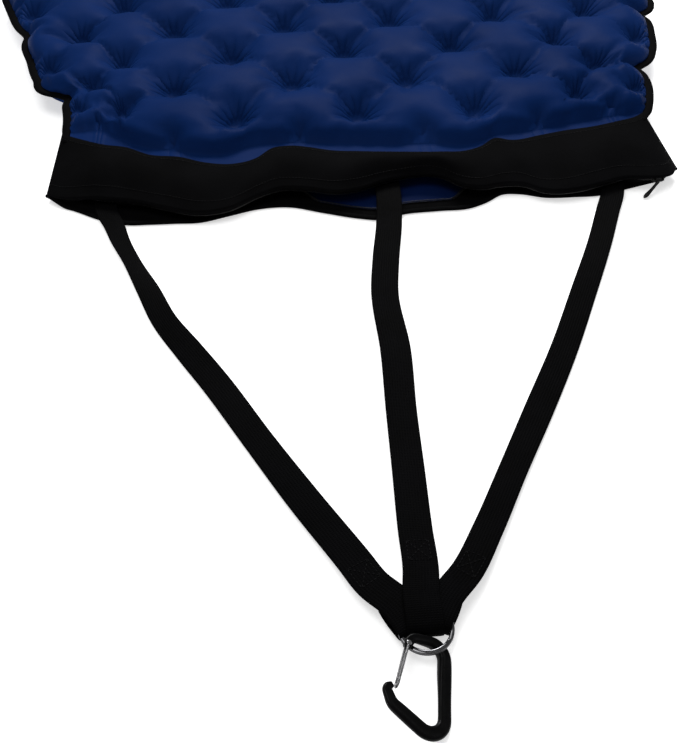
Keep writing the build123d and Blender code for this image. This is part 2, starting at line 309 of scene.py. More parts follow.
def rough_range(material, low, high, scale):
    """Lets the roughness wander, as worn and handled surfaces do."""
    span = {"From Min": 0.3, "From Max": 0.7, "To Min": low, "To Max": high}
    span["Value"] = noise_of(material, scale, 5)
    feed_shader(material, "Roughness", add_node(material, "MapRange", span)["Result"])


def bump(material, height, strength, distance):
    """Adds a bump to the shader, on top of any bump that it has."""
    shape = {"Height": height, "Strength": strength, "Distance": distance}
    below = shader_of(material).inputs["Normal"].links
    if below:
        shape["Normal"] = below[0].from_socket
    feed_shader(material, "Normal", add_node(material, "Bump", shape)["Normal"])


def noise_bump(material, scale, strength, distance):
    """A bump from noise, such as small wrinkles or grain."""
    bump(material, noise_of(material, scale, 4), strength, distance)


# A wave texture of scale 1 repeats every 0.314 m
WAVE_PER_METRE = 0.314


def thread_bump(material, across, along, strength, distance, place="Object"):
    """A woven bump: two sets of threads, with their pitches in metres."""
    where = add_node(material, "TexCoord", {})[place]
    heights = {}
    for k, (axis, pitch) in enumerate((("X", across), ("Y", along))):
        wave = {"Vector": where, "Scale": WAVE_PER_METRE / pitch}
        heights[k] = add_node(material, "TexWave", wave, bands_direction=axis)["Fac"]
    both = add_node(material, "Math", heights, operation="MULTIPLY")["Value"]
    bump(material, both, strength, distance)


def pleats(material, count, strength, distance):
    """Small pleats that fan out from each weld; UVs count columns and rows of welds."""

    def calc(operation, *values):
        inputs = dict(enumerate(values))
        return add_node(material, "Math", inputs, operation=operation)["Value"]

    def fade(value, low, high, at_low, at_high):
        span = {"From Min": low, "From Max": high, "To Min": at_low, "To Max": at_high}
        span["Value"] = value
        return add_node(material, "MapRange", span, interpolation_type="SMOOTHSTEP")["Result"]

    where = add_node(material, "TexCoord", {})["UV"]
    split = add_node(material, "SeparateXYZ", {"Vector": where})
    wander = calc("MULTIPLY_ADD", noise_of(material, 18, 2), 3.0, -1.5)
    fans = []
    for odd in (0.0, 0.5):
        column = calc("FRACT", calc("ADD", split["X"], 0.5 - odd))
        row = calc("FRACT", calc("MULTIPLY_ADD", split["Y"], 0.5, 0.5 - odd))
        x = calc("MULTIPLY", calc("SUBTRACT", column, 0.5), COLUMN_PITCH)
        y = calc("MULTIPLY", calc("SUBTRACT", row, 0.5), 2 * ROW_PITCH)
        reach = calc("SQRT", calc("ADD", calc("MULTIPLY", x, x), calc("MULTIPLY", y, y)))
        turn = calc("MULTIPLY_ADD", calc("ARCTAN2", y, x), count / 2, wander)
        ridge = calc("POWER", calc("ABSOLUTE", calc("SINE", turn)), 0.7)
        grown = fade(reach, WELD_RADIUS, PLEAT_PEAK, 0, 1)
        gone = fade(reach, PLEAT_PEAK, PLEAT_END, 1, 0)
        fans.append(calc("MULTIPLY", ridge, calc("MULTIPLY", grown, gone)))
    bump(material, calc("ADD", *fans), strength, distance)


# ---------------------------------------------------------------- materials
pad_fabric = new_material("pad_fabric", (0.0022, 0.0138, 0.072), 0.5, gloss=0.008)
mottle(pad_fabric, [(0.0022, 0.0125, 0.064), (0.0034, 0.0162, 0.08)], 9)
thread_bump(pad_fabric, 0.0011, 0.0011, 0.25, 0.0001)
noise_bump(pad_fabric, 55, 0.25, 0.0012)
rough_range(pad_fabric, 0.42, 0.56, 30)
pleats(pad_fabric, 14, 0.6, 0.0022)

band_fabric = new_material("band_fabric", (0.0016, 0.0016, 0.0019), 0.8, gloss=0.014)
mottle(band_fabric, [(0.0013, 0.0013, 0.0015), (0.002, 0.002, 0.0024)], 24)
thread_bump(band_fabric, 0.001, 0.001, 0.3, 0.00012)
noise_bump(band_fabric, 70, 0.3, 0.001)

# The lining's own navy, darkened by half as painted shade for the inside of the pocket under the
# band
lining_fabric_painted_dark = new_material("pocket_lining_painted_shade", (0.0014, 0.007, 0.038), 0.6, gloss=0.02)
mottle(lining_fabric_painted_dark, [(0.0011, 0.006, 0.032), (0.0017, 0.008, 0.044)], 14)
thread_bump(lining_fabric_painted_dark, 0.0011, 0.0011, 0.3, 0.0001)

binding_tape = new_material("binding_tape", (0.0013, 0.0013, 0.0015), 0.75, gloss=0.015)
mottle(binding_tape, [(0.001, 0.001, 0.0012), (0.0017, 0.0017, 0.002)], 60)
thread_bump(binding_tape, 0.0009, 0.0014, 0.5, 0.0002, "UV")

webbing = new_material("webbing", (0.0011, 0.0011, 0.0013), 0.62, gloss=0.012)
mottle(webbing, [(0.0009, 0.0009, 0.001), (0.0014, 0.0014, 0.0017)], 40)
thread_bump(webbing, 0.0021, 0.0016, 0.7, 0.0004, "UV")
noise_bump(webbing, 900, 0.2, 0.0002)

zip_tape = new_material("zip_tape", (0.0013, 0.0013, 0.0015), 0.78, gloss=0.015)
mottle(zip_tape, [(0.001, 0.001, 0.0012), (0.0017, 0.0017, 0.002)], 60)
thread_bump(zip_tape, 0.0008, 0.0008, 0.5, 0.0002, "UV")

zip_coil = new_material("zip_coil", (0.004, 0.004, 0.0045), 0.4, gloss=0.2)
rough_range(zip_coil, 0.3, 0.46, 300)

thread = new_material("sewing_thread", (0.0035, 0.0035, 0.004), 0.6, gloss=0.06)
noise_bump(thread, 2500, 0.4, 0.0001)

zip_metal = new_material("zip_metal", (0.003, 0.003, 0.0034), 0.45, gloss=0.1)
mottle(zip_metal, [(0.0024, 0.0024, 0.0028), (0.004, 0.004, 0.0045)], 220)
rough_range(zip_metal, 0.38, 0.52, 400)

ring_steel = new_material("ring_steel", (0.1, 0.1, 0.105), 0.14, metallic=1.0)
mottle(ring_steel, [(0.08, 0.08, 0.084), (0.13, 0.13, 0.135)], 130)
rough_range(ring_steel, 0.08, 0.2, 500)
noise_bump(ring_steel, 900, 0.05, 0.0001)

clip_alloy = new_material("carabiner_alloy", (0.0012, 0.0012, 0.0014), 0.3, gloss=0.07)
mottle(clip_alloy, [(0.001, 0.001, 0.0011), (0.0016, 0.0016, 0.0019)], 150)
rough_range(clip_alloy, 0.26, 0.4, 240)
noise_bump(clip_alloy, 2400, 0.08, 0.0001)

gate_steel = new_material("gate_steel", (0.2, 0.2, 0.205), 0.25, metallic=1.0)
mottle(gate_steel, [(0.17, 0.17, 0.175), (0.23, 0.23, 0.235)], 120)
rough_range(gate_steel, 0.2, 0.3, 200)

valve_plastic = new_material("valve_plastic", (0.004, 0.004, 0.0046), 0.5, gloss=0.1)
mottle(valve_plastic, [(0.0033, 0.0033, 0.0038), (0.005, 0.005, 0.0058)], 80)
noise_bump(valve_plastic, 1500, 0.15, 0.0001)

valve_rubber = new_material("valve_rubber", (0.0055, 0.0055, 0.006), 0.7, gloss=0.08)
mottle(valve_rubber, [(0.0045, 0.0045, 0.005), (0.0065, 0.0065, 0.0072)], 60)
noise_bump(valve_rubber, 1200, 0.2, 0.0001)


def finish_piece(piece, material, replaces=()):
    """Gives a piece its material and the CAD nodes it stands for."""
    piece.data.materials.clear()
    piece.data.materials.append(material)
    if replaces:
        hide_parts(*replaces)


def both_ends(front_piece, name, material, body, nodes=(), blend=None):
    """Finishes a front piece and its turned twin at the rear.

    The body's name lacks the end. A blend's points are not used: a piece given one is attached to
    no body, and its place is baked into its mesh.
    """
    front_piece.name = f"front_{name}"
    rear_piece = show(front_piece.data.copy(), f"rear_{name}")
    rear_piece.data.transform(HALF_TURN)
    for end, piece in zip(ENDS, (front_piece, rear_piece)):
        piece.data.name = piece.name
        finish_piece(piece, material, [f"{end}_{node}" for node in nodes])
        end_body = body if body == "pad" else f"{end}_{body}"
        if blend:
            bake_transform(piece)
        else:
            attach(piece, end_body)
    return front_piece, rear_piece


# ---------------------------------------------------------------- the pad's outline
# Half widths of the seam against inward depth, on each side of the front end
RIGHT_SIDE = [
    (40, 303), (78, 311), (103, 321), (132, 329), (152, 330), (168, 328), (180, 343),
    (205, 358), (239, 368), (272, 373), (287, 370), (298, 384), (315, 392),
]
LEFT_SIDE = [
    (40, 288), (95, 291), (130, 292), (153, 295), (176, 300), (185, 318), (213, 332),
    (253, 343), (293, 353), (307, 352), (334, 366), (375, 380), (407, 390),
]
FULL_HALF_WIDTH = 393
FIRST_NOTCH = {"right": 287, "left": 183}
NOTCH_PITCH = {"right": 127.6, "left": 123.7}
NOTCH_DEPTH = 11
NOTCH_LENGTH = 10
TAPER_FADE = 30
# Inward depth of the end seam, and of the line where the band covers the flange
SEAM_LINE = [
    (-310, 110), (-287, 106), (-251, 104), (-226, 81), (-179, 62), (-134, 53), (-100, 64),
    (-61, 64), (-15, 58), (26, 52), (79, 48), (118, 44), (150, 57), (190, 61), (244, 73),
    (279, 78), (307, 81), (330, 84),
]
BAND_LINE = [
    (-312, 100), (-296, 98), (-280, 89), (-252, 75), (-232, 69), (-207, 53), (-177, 46), (-152, 34),
    (-123, 29), (-99, 38), (-87, 50), (-66, 54), (-46, 49), (-27, 42), (3, 37), (43, 32),
    (83, 28), (108, 27), (125, 33), (143, 46), (157, 41), (189, 46), (212, 51), (253, 57),
    (276, 63), (298, 70), (308, 77), (314, 80),
]
SEAM_DEPTH = 50
SEAM_Z = 25
ROWS = 27
ACROSS_STEP = COLUMN_PITCH / 22
ROW_STEPS = 12
ALONG_STEP = ROW_PITCH / ROW_STEPS
EDGE_STEPS = 8
HALF_COLUMNS = 70
FIRST_ROW = ROW_PITCH * (ROWS - 1) / 2
FULL_U = HALF_COLUMNS * ACROSS_STEP
SQUEEZED_FROM = 235
SKEW = 9
# The rows bend as the end seam does, less and less as far in as BEND_END
BEND_END, BEND_RUN = 250, 200


def half_width(side, inward):
    """Half the seam's width at an inward depth: a taper, then scallops to the middle."""
    table = RIGHT_SIDE if side == "right" else LEFT_SIDE
    last_place = table[-1][0]
    first_notch = FIRST_NOTCH[side]
    pitch = NOTCH_PITCH[side]
    off = (inward - first_notch + pitch / 2) % pitch - pitch / 2
    full = FULL_HALF_WIDTH - NOTCH_DEPTH * np.exp(-((off / NOTCH_LENGTH) ** 2))
    share = ease((inward - last_place) / TAPER_FADE)
    return smooth(table, np.minimum(inward, last_place)) * (1 - share) + full * share


def pad_place(u, w):
    """Where lattice point (u, w) of the front half lies: x and inward depth."""
    x = u.copy()
    inward = w.copy()
    for _ in range(3):
        edge = np.where(u > 0, half_width("right", inward), half_width("left", inward))
        squeeze = (edge - SQUEEZED_FROM) / (FULL_U - SQUEEZED_FROM)
        outer = SQUEEZED_FROM + (np.abs(u) - SQUEEZED_FROM) * squeeze
        x = np.where(np.abs(u) > SQUEEZED_FROM, np.sign(u) * outer, u)
        skew = SKEW * (1 - w / MOUTH_TO_MIDDLE) * (1 - np.abs(u) / FULL_U)
        x = x + skew
        bend = ease((BEND_END - w) / BEND_RUN)
        inward = w + (smooth(SEAM_LINE, x) - SEAM_DEPTH) * bend
    return x, inward


def whole_pad(u, v):
    """Row-frame x and y of lattice points (u, v), v along the pad from its middle."""
    front = v <= 0
    flip = np.where(front, 1, -1)
    x, inward = pad_place(u * flip, MOUTH_TO_MIDDLE + np.where(front, v, -v))
    return x * flip, (MOUTH_Y + inward) * flip


edge_run = MOUTH_TO_MIDDLE - FIRST_ROW - SEAM_DEPTH
inner_v = np.arange((ROWS - 1) * ROW_STEPS + 1) * ALONG_STEP - FIRST_ROW
outer_v = -FIRST_ROW - edge_run + np.arange(EDGE_STEPS) * edge_run / EDGE_STEPS
all_v = np.r_[outer_v, inner_v, -outer_v[::-1]]
all_u = np.arange(-HALF_COLUMNS, HALF_COLUMNS + 1) * ACROSS_STEP
grid_u, grid_v = np.meshgrid(all_u, all_v)
pad_x, pad_y = whole_pad(grid_u, grid_v)

WELD_TO_EDGE = 12
welds = []
for row in range(ROWS):
    v = -FIRST_ROW + row * ROW_PITCH
    shift = 0 if row % 2 == 0 else COLUMN_PITCH / 2
    for column in range(-4, 5):
        u = column * COLUMN_PITCH + shift
        if abs(u) < FULL_U - WELD_TO_EDGE:
            welds.append((u, v))
weld_u, weld_v = np.array(welds).T
weld_x, weld_y = whole_pad(weld_u, weld_v)
valve_low, valve_high = corners_of("valve_base")
valve_at = (valve_low + valve_high) / 2
SEAT_RADIUS = 28
SEAT_FADE = 24
SEAT_Z = 53.4
SEAT_TO_WELD = 6
from_valve = np.hypot(weld_x - valve_at[0], weld_y - valve_at[1])
clear_of_valve = from_valve > SEAT_RADIUS + SEAT_TO_WELD
weld_x, weld_y = weld_x[clear_of_valve], weld_y[clear_of_valve]
# small tucks where the end seam gathers the fabric between the welds
GATHER_INSET = 9
gather_u = np.array([(c + 0.5) * COLUMN_PITCH for c in range(-3, 3)])
gather_v = np.full(len(gather_u), -FIRST_ROW - edge_run + GATHER_INSET)
gather_x, gather_y = whole_pad(gather_u, gather_v)

# ---------------------------------------------------------------- the pad, inflated
GATHER_RADIUS = 4.0
EXTRA_FABRIC = 0.055
PUFF_TOP = 61
START_RISE = 24
START_REACH = 56
INFLATE_FRAMES = 18
FACE_RISE = 17
FACE_RUN = 20
CREASE_DEPTH = 3.6
CREASE_WIDTH = 13


def gap_to(places_x, places_y):
    """How far each grid point lies from the nearest of some places."""
    gap = np.full(pad_x.shape, 1e9)
    for x, y in zip(places_x, places_y):
        gap = np.minimum(gap, np.hypot(pad_x - x, pad_y - y))
    return gap


pinned = gap_to(weld_x, weld_y) < WELD_RADIUS
for turn in (1, -1):
    pinned |= gap_to(gather_x * turn, gather_y * turn) < GATHER_RADIUS
pinned[0] = pinned[-1] = True
pinned[:, 0] = pinned[:, -1] = True
from_end = np.minimum(pad_y - pad_y[:1], pad_y[-1:] - pad_y)
from_edge = np.minimum(pad_x - pad_x[:, :1], pad_x[:, -1:] - pad_x)


def first_puffs():
    """The rough rise of each grid point above the seam, before the fabric settles."""
    gap = np.minimum(gap_to(weld_x, weld_y) - WELD_RADIUS, np.minimum(from_edge, from_end))
    puffs = START_RISE * np.sin(np.clip(gap / START_REACH, 0, 1) * pi / 2) ** 0.75
    return np.where(pinned, 0, puffs)


def inflate(start, flat):
    """Lets a welded sheet settle under air pressure, cut a little larger than flat."""
    sheet = add_grid("inflating", start)
    group = sheet.vertex_groups.new(name="pinned")
    group.add(np.flatnonzero(pinned.ravel()).tolist(), 1.0, "REPLACE")
    sheet.shape_key_add(name="Basis")
    cut = sheet.shape_key_add(name="cut")
    cut.data.foreach_set("co", (flat * MM).ravel())
    cut.value = 0
    cloth = sheet.modifiers.new("Cloth", "CLOTH")
    settings = cloth.settings
    settings.quality = 4
    settings.mass = 0.25
    settings.tension_stiffness = 22
    settings.compression_stiffness = 14
    settings.shear_stiffness = 5
    settings.bending_stiffness = 0.12
    settings.air_damping = 2
    settings.use_pressure = True
    settings.uniform_pressure_force = 110
    settings.shrink_min = -EXTRA_FABRIC
    settings.rest_shape_key = cut
    settings.vertex_group_mass = "pinned"
    settings.effector_weights.gravity = 0
    cloth.collision_settings.use_collision = False
    cloth.point_cache.frame_start = 1
    cloth.point_cache.frame_end = INFLATE_FRAMES
    scene = bpy.context.scene
    scene.frame_start = 1
    scene.frame_end = INFLATE_FRAMES
    for step in range(1, INFLATE_FRAMES + 1):
        scene.frame_set(step)
    apply_modifiers(sheet)
    found = np.zeros(len(sheet.data.vertices) * 3)
    sheet.data.vertices.foreach_get("co", found)
    bpy.data.objects.remove(sheet)
    scene.frame_set(1)
    return found.reshape(start.shape) / MM


flat_pad = np.stack([pad_x, pad_y, np.full(pad_x.shape, float(SEAM_Z))], axis=-1)
puffed = flat_pad.copy()
puffed[..., 2] += first_puffs()
puffed = inflate(puffed, flat_pad)
rise = np.maximum(puffed[..., 2] - SEAM_Z, 0)
top_room = PUFF_TOP - SEAM_Z
rise = top_room * np.tanh(rise / top_room)


def clear_of(places_x, places_y, radius, run):
    """0 within a radius of every place, rising to 1 over a run."""
    return ease((gap_to(places_x, places_y) - radius) / run)


# the end row of puffs bulges steeply from its seam
face = FACE_RISE * np.sqrt(1 - (1 - np.clip(from_end / FACE_RUN, 0, 1)) ** 2)
face *= ease(1 - (from_end - FACE_RUN) / 18) * ease(from_edge / 25)
face *= clear_of(weld_x, weld_y, WELD_RADIUS, 20)
for turn in (1, -1):
    face *= clear_of(gather_x * turn, gather_y * turn, 2, 16)
face *= 0.86 + 0.14 * np.abs(np.sin(pad_x * 0.11)) ** 0.6
# shallow creases run between each weld and its diagonal neighbours
columns_in = grid_u / COLUMN_PITCH
rows_in = (grid_v + FIRST_ROW) / (2 * ROW_PITCH)
to_millimetres = COLUMN_PITCH * sin(np.arctan2(2 * ROW_PITCH, COLUMN_PITCH))
to_crease = np.full(pad_x.shape, 1e9)
for diagonal in (columns_in - rows_in, columns_in + rows_in):
    off = np.abs((diagonal + 0.5) % 1 - 0.5) * to_millimetres
    to_crease = np.minimum(to_crease, off)
crease = CREASE_DEPTH * np.clip(1 - to_crease / CREASE_WIDTH, 0, 1) ** 1.6
crease *= 0.75 + 0.25 * np.sin(pad_x * 0.031 + 1.3) * np.sin(pad_y * 0.027)
crease *= ease(from_end / 45) * ease(from_edge / 40) * ease(rise / 12)
puffed[..., 2] = SEAM_Z + np.maximum(rise - crease, face)
seat = ease(1 - (np.hypot(pad_x - valve_at[0], pad_y - valve_at[1]) - SEAT_RADIUS) / SEAT_FADE)
underside_z = 2 * SEAM_Z - puffed[..., 2] - 0.2
puffed[..., 2] += (SEAT_Z - puffed[..., 2]) * seat

FLANGE_ROWS = 3
BAND_OVERLAP = 5


def with_flanges(points, flange_z, gap):
    """Adds the flat welded flange beyond each end seam, down to under the band."""
    rows = []
    for t in np.linspace(1, 1 / FLANGE_ROWS, FLANGE_ROWS):
        x = points[0, :, 0]
        seam = smooth(SEAM_LINE, x)
        covered = smooth(BAND_LINE, x) - BAND_OVERLAP
        inward = seam + (covered - seam) * t
        ripple = 0.5 * np.sin(x * 0.16 + t) * t
        rows.append(np.stack([x, MOUTH_Y + inward, flange_z + gap * t + ripple], axis=-1))
    front = np.array(rows)
    rear = front[::-1, ::-1] * (-1, -1, 1)
    return np.concatenate([front, points, rear])


flange_v = np.full((FLANGE_ROWS, grid_v.shape[1]), grid_v[0, 0])
lattice_v = np.concatenate([flange_v, grid_v, -flange_v])
lattice_u = np.broadcast_to(grid_u[0], lattice_v.shape)
lattice = np.stack([lattice_u / COLUMN_PITCH, (lattice_v + FIRST_ROW) / ROW_PITCH], axis=-1)


def pad_skin(name, points, uvs):
    """A skin of the pad whose UVs count the welds' columns and rows."""
    return add_mesh(name, points.reshape(-1, 3), grid_faces(*points.shape[:2]), uvs.reshape(-1, 2))


top_sheet = pad_skin("pad_quilt_top", with_flanges(puffed, SEAM_Z, 0.6), lattice)
underside = puffed.copy()
underside[..., 2] = np.maximum(0.4, underside_z)
bottom_points = with_flanges(underside, SEAM_Z - 0.3, -0.6)
bottom_sheet = pad_skin("pad_quilt_bottom", bottom_points[:, ::-1], lattice[:, ::-1])
for piece, node in ((top_sheet, "pad_top_sheet"), (bottom_sheet, "pad_bottom_sheet")):
    finish_piece(piece, pad_fabric, [node])
    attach(piece, "pad")

# ---------------------------------------------------------------- the side bindings
BINDING_SECTION = oval(10, 4.2, 12, 3.2)
BINDING_OUT = 2.5
# The binding narrows over its last rings, where it goes under the band
TAPERED, TAPER = 6, 0.55
BAND_CORNERS = {"left": (-293, 86), "right": (303, 64)}
for side, column in (("left", 0), ("right", -1)):
    line = flat_pad[:, column].copy()
    line[:, 0] += BINDING_OUT * np.sign(line[:, 0])
    front_x, front_in = BAND_CORNERS[side]
    rear_x, rear_in = BAND_CORNERS["left" if side == "right" else "right"]
    front_tail = np.linspace((front_x, MOUTH_Y + front_in, SEAM_Z), line[0], 5)[:-1]
    rear_tail = np.linspace(line[-1], (-rear_x, -MOUTH_Y - rear_in, SEAM_Z), 5)[1:]
    line = np.concatenate([front_tail, line, rear_tail])
    line[:, 2] = SEAM_Z
    size = np.ones((len(line), 2))
    size[:TAPERED] *= np.linspace(TAPER, 1, TAPERED)[:, None]
    size[-TAPERED:] *= np.linspace(1, TAPER, TAPERED)[:, None]
    tape = tube(f"binding_{side}", line, BINDING_SECTION, scale=size)
    finish_piece(tape, binding_tape, [f"side_binding_{side}"])
    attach(tape, "pad")

# ---------------------------------------------------------------- the end pocket
# The upper lip's ridge: x, inward depth, height
UPPER_LIP = [
    (-309, 24, 9), (-300, 17, 11), (-260, 8, 15), (-222, -2, 16), (-192, -15, 16),
    (-163, -26, 16), (-132, -23, 16), (-100, -5, 17), (-80, 2, 17.5), (-57, -1, 18),
    (-24, -10, 18), (-2, -7, 18), (22, 3, 18), (51, 9, 18), (66, 10, 18), (83, 4, 18),
    (97, -10, 18), (115, -17, 18), (140, -13, 17), (161, -16, 17), (176, -25, 16),
    (210, -28, 16), (233, -22, 16), (262, -16, 17), (284, -19, 17.5), (301, -19, 17),
    (313, -12, 14), (322, 2, 10),
]
LOWER_LIP = [
    (-309, 25), (-300, 17), (-282, 7), (-254, -11), (-232, -20), (-208, -22), (-184, -23),
    (-160, -24), (-133, -17), (-103, -9), (-72, -9), (-38, -22), (-5, -34), (14, -38),
    (36, -32), (74, -30), (104, -29), (121, -22), (139, -11), (159, -12), (182, -20),
    (210, -22), (238, -22), (265, -15), (296, -7), (312, -3), (322, 3),
]
POCKET_SIDES = (-309, 322)
BAND_SIDES = (-297, 308)
POCKET_COLUMNS = 190
BAND_ROWS = 14
ROLL_RADIUS = 2.2


def row_of(x, inward, z):
    """A row of points across the mouth, at an inward depth and a height."""
    return np.stack([x, MOUTH_Y + inward, np.broadcast_to(z, x.shape)], axis=-1)


share = np.linspace(0, 1, POCKET_COLUMNS)
lip_x = POCKET_SIDES[0] + (POCKET_SIDES[1] - POCKET_SIDES[0]) * share
lip_table = np.array(UPPER_LIP)
lip_in = smooth(lip_table[:, [0, 1]].tolist(), lip_x)
lip_z = smooth(lip_table[:, [0, 2]].tolist(), lip_x)
top_x = BAND_SIDES[0] + (BAND_SIDES[1] - BAND_SIDES[0]) * share
top_in = smooth(BAND_LINE, top_x)
top_z = np.full(POCKET_COLUMNS, SEAM_Z + 2.4)
from_side = np.minimum(share, 1 - share) * (POCKET_SIDES[1] - POCKET_SIDES[0])
crown = ease(from_side / 60)

band_rows = []
for t in np.linspace(0, 1, BAND_ROWS):
    x = top_x + (lip_x - top_x) * t
    inward = top_in + (lip_in - top_in) * t
    z = top_z + (lip_z - top_z) * t
    swell = crown * (4.5 + 1.5 * np.sin(lip_x * 0.021 + 1)) * np.sin(pi * t) ** 1.2
    folds = crown * 1.1 * np.sin(lip_x * 0.075 + 3 * t) * np.sin(pi * t)
    band_rows.append(row_of(x, inward, z + swell + folds))
for turn in np.radians([35, 75, 115, 150, 180]):
    roll = ROLL_RADIUS * (0.4 + 0.6 * crown)
    inward = lip_in - roll * np.sin(turn)
    z = lip_z - roll * (1 - np.cos(turn))
    band_rows.append(row_of(lip_x, inward, z))
band_rows = np.array(band_rows)
band = add_grid("band", band_rows)
thicken(band, 0.9)
bands = both_ends(band, "band_sheet", band_fabric, "pad", ["pocket_band"])

edge_low = smooth(LOWER_LIP, lip_x)
FLOOR_ROWS = 12
FLOOR_INSET = 6
side_rise = ease(1 - from_side / 22)
floor_rows = []
for t in np.linspace(0, 1, FLOOR_ROWS):
    x = top_x + (lip_x - top_x) * t
    inward = (top_in + FLOOR_INSET) + (edge_low - top_in - FLOOR_INSET) * t
    rim = (SEAM_Z - 1) + (lip_z - SEAM_Z - 1) * t
    z = 1.1 + 9 * (1 - ease(t / 0.25)) + 0.5 * np.sin(lip_x * 0.05 + 4 * t) ** 2
    z = z * (1 - side_rise) + rim * side_rise
    floor_rows.append(row_of(x, inward, z))
floor_rows = np.array(floor_rows)
# The pocket floor wears the lining colour that is darkened as painted shade
pocket_floor = add_grid("floor", floor_rows[:, ::-1])
thicken(pocket_floor, 0.6)
floors = both_ends(pocket_floor, "pocket_lining_painted_shade", lining_fabric_painted_dark, "pad", ["pocket_floor"])

lip_line = floor_rows[-1] + (0, -0.6, 0)
lip_line[:, 2] = np.maximum(lip_line[:, 2], 1.9)
lip = tube("lip", lip_line, oval(5.5, 3.4, 12, 2.8))
both_ends(lip, "lip_edge", binding_tape, "pad", ["lip_binding"])

# ---------------------------------------------------------------- the zip
COIL_PITCH = 1.35
COIL_RADIUS = 1.15
COIL_WIRE = 0.42
CHAIN_LIMIT = 304


def coil(name, line):
    """A coil of nylon monofilament along a line."""
    run = np.linalg.norm(np.diff(line, axis=0), axis=1).sum()
    count = int(run / COIL_PITCH) * 8
    centre = resample(line, count)
    side, top = sides_of(centre, (0, 0, 1))
    turn = np.arange(count) * pi / 4
    helix = centre + COIL_RADIUS * (
        np.cos(turn)[:, None] * side * 1.05 + np.sin(turn)[:, None] * top * 0.9
    )
    square = np.array([(1, 0), (0, 1), (-1, 0), (0, -1)]) * COIL_WIRE
    return tube(name, helix, square, up=(0.1, 0.2, 1))


inside = np.abs(lip_x) < CHAIN_LIMIT
closing = ease((np.abs(lip_x) - 250) / 30)[inside]
upper_line = row_of(lip_x, lip_in - 1.0, lip_z - 2 * ROLL_RADIUS - 0.4)[inside]
# the lower tape is wide except at the middle, where the lining shows
TAPE_REACH, TAPE_DRAWN_BACK = 26, 15
LINING_SHOWS = (-62, 106)
open_middle = ease((lip_x - LINING_SHOWS[0]) / 20) * ease((LINING_SHOWS[1] - lip_x) / 20)
tape_reach = TAPE_REACH - TAPE_DRAWN_BACK * open_middle
lower_line = row_of(lip_x, edge_low + tape_reach, 3.8)[inside]
meeting = row_of(lip_x, lip_in + 3, lip_z - 4.4)[inside]
up_gap = np.array([0, 0.3, 1.5])
upper_line += (meeting + up_gap - upper_line) * closing[:, None]
lower_line += (meeting - up_gap - lower_line) * closing[:, None]
for name, chain in (("upper", upper_line), ("lower", lower_line)):
    both_ends(coil("coil", chain), f"coil_{name}", zip_coil, "pad", [f"zip_coil_{name}"])
upper_back = row_of(lip_x, lip_in + 5, lip_z - 3.2)[inside]
lower_back = row_of(lip_x, edge_low + 1.2, 2.0)[inside]
for name, chain, back, lift in (
    ("upper", upper_line, upper_back, 1.0),
    ("lower", lower_line, lower_back, -1.0),
):
    rows = [chain + (back - chain) * t + (0, 0, lift * (1 - t)) for t in np.linspace(0, 1, 5)]
    tape = add_grid("tape", np.array(rows))
    thicken(tape, 0.7)
    both_ends(tape, f"tape_{name}", zip_tape, "pad", [f"zip_tape_{name}"])

STOP_SECTION = oval(4.4, 3.4, 12, 3.5)
STOP_SIZES = np.array([0.75, 1, 1.04, 1, 0.7])[:, None] * (1, 1)
for name, place, toward in (("stop_left", meeting[0], -1), ("stop_right", meeting[-1], 1)):
    run = np.linspace(-0.8, 2.4, 5)[:, None] * (toward, 0, 0)
    stop = tube(name, place + run, STOP_SECTION, scale=STOP_SIZES)
    both_ends(stop, name, zip_metal, "pad", ["zip_stops"])

slider_low, slider_high = corners_of("front_zip_slider")
slider_middle = (slider_low + slider_high) / 2
bail = np.array([slider_middle[0], slider_low[1] + 0.7, slider_middle[2]])
PULL_END = bail + (-17.5, -12.8, -10.8)
pull_run = np.linspace(0, 1, 30)
pull_path = bail + (PULL_END - bail) * pull_run[:, None]
pull_path[:, 2] -= 1.2 * np.sin(pi * pull_run)
pull_width = smooth(
    [(0, 0.5), (0.06, 0.85), (0.2, 0.8), (0.6, 0.95), (0.82, 1.15), (0.93, 0.9), (1, 0.25)],
    pull_run,
)
pull_scale = np.stack([pull_width, pull_width**0.3], axis=1)
pull = tube("pull", pull_path, oval(4.0, 1.6, 14, 2.6), scale=pull_scale)
both_ends(pull, "pull_tab", zip_metal, "pull", ["zip_pull"])
for end in ENDS:
    slider = bpy.data.objects[f"{end}_zip_slider"]
    for material_slot in slider.material_slots:
        material_slot.material = zip_metal

# ---------------------------------------------------------------- the straps
ring_low, ring_high = corners_of("front_bridle_ring")
ring_centre = (ring_low + ring_high) / 2
RING_WIRE = 3.2
RING_RADIUS = (ring_high[0] - ring_low[0] - RING_WIRE) / 2
